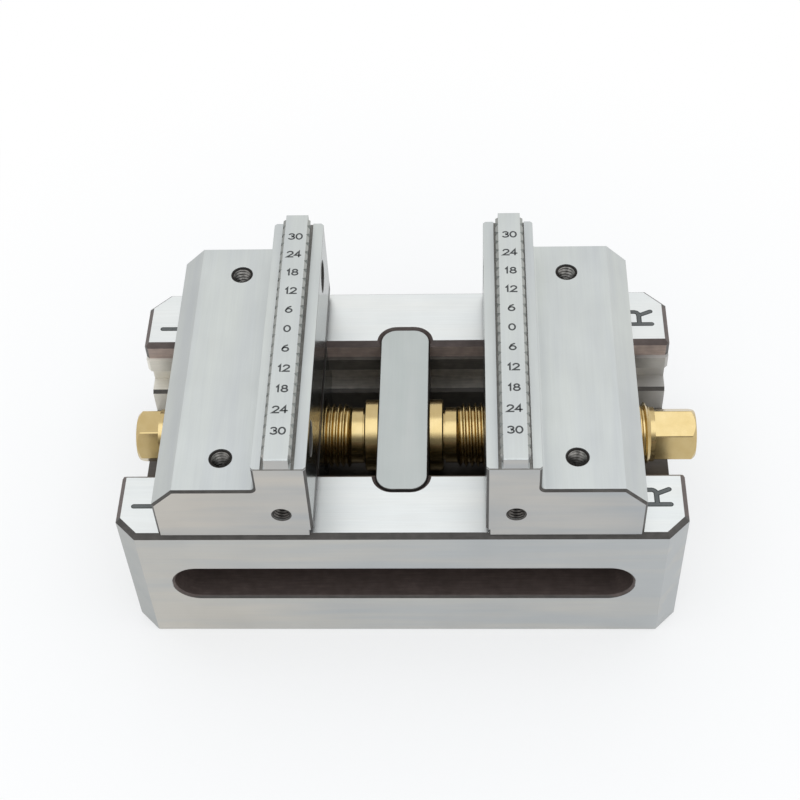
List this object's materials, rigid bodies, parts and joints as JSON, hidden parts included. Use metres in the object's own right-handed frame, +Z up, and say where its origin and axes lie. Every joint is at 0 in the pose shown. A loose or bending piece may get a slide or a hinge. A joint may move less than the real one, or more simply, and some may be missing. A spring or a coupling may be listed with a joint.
{
  "type": "self centering vise",
  "caption": "Low vise whose two stepped jaws slide in one T-slot and are drawn together or apart by one spindle with a right hand and a left hand thread.",
  "frame": {"origin": "middle of the underside of the base", "axes": "+X along the spindle towards its longer hexagon, which has the right hand thread; +Y away from the user; +Z up"},
  "size_m": [0.1391, 0.078, 0.0687],
  "materials": {
    "ground_steel": "hardened steel, ground on every outer face, with fine straight grinding lines",
    "jaw_steel": "hardened steel, ground, with a polished inner face and milled teeth",
    "gold_coated_steel": "turned and threaded steel with a thin gold coloured hard coating",
    "block_steel": "milled steel, finely ground on top",
    "black_oxide_steel": "steel with a black oxide skin"
  },
  "bodies": {
    "base": {"base_body": "ground_steel", "centre_block": "block_steel", "front_block_screw": "black_oxide_steel", "rear_block_screw": "black_oxide_steel"},
    "left_jaw": {"left_jaw": "jaw_steel"},
    "right_jaw": {"right_jaw": "jaw_steel"},
    "spindle": {"spindle": "gold_coated_steel"}
  },
  "joints": [
    {"name": "spindle_turn", "type": "hinge", "parent": "base", "child": "spindle", "pos_m": [0, 0, 0.0289], "axis": [1, 0, 0], "range_deg": [-2521, 3121]},
    {"name": "right_jaw_slide", "type": "slide", "parent": "base", "child": "right_jaw", "axis": [1, 0, 0], "range_m": [-0.013, 0.0105]},
    {"name": "left_jaw_slide", "type": "slide", "parent": "base", "child": "left_jaw", "axis": [-1, 0, 0], "range_m": [-0.01301, 0.01051]}
  ],
  "couplings": [
    {"joint": "spindle_turn", "follows": "right_jaw_slide", "rad_per_m": -4188.8},
    {"joint": "left_jaw_slide", "follows": "right_jaw_slide", "ratio": 1}
  ]
}
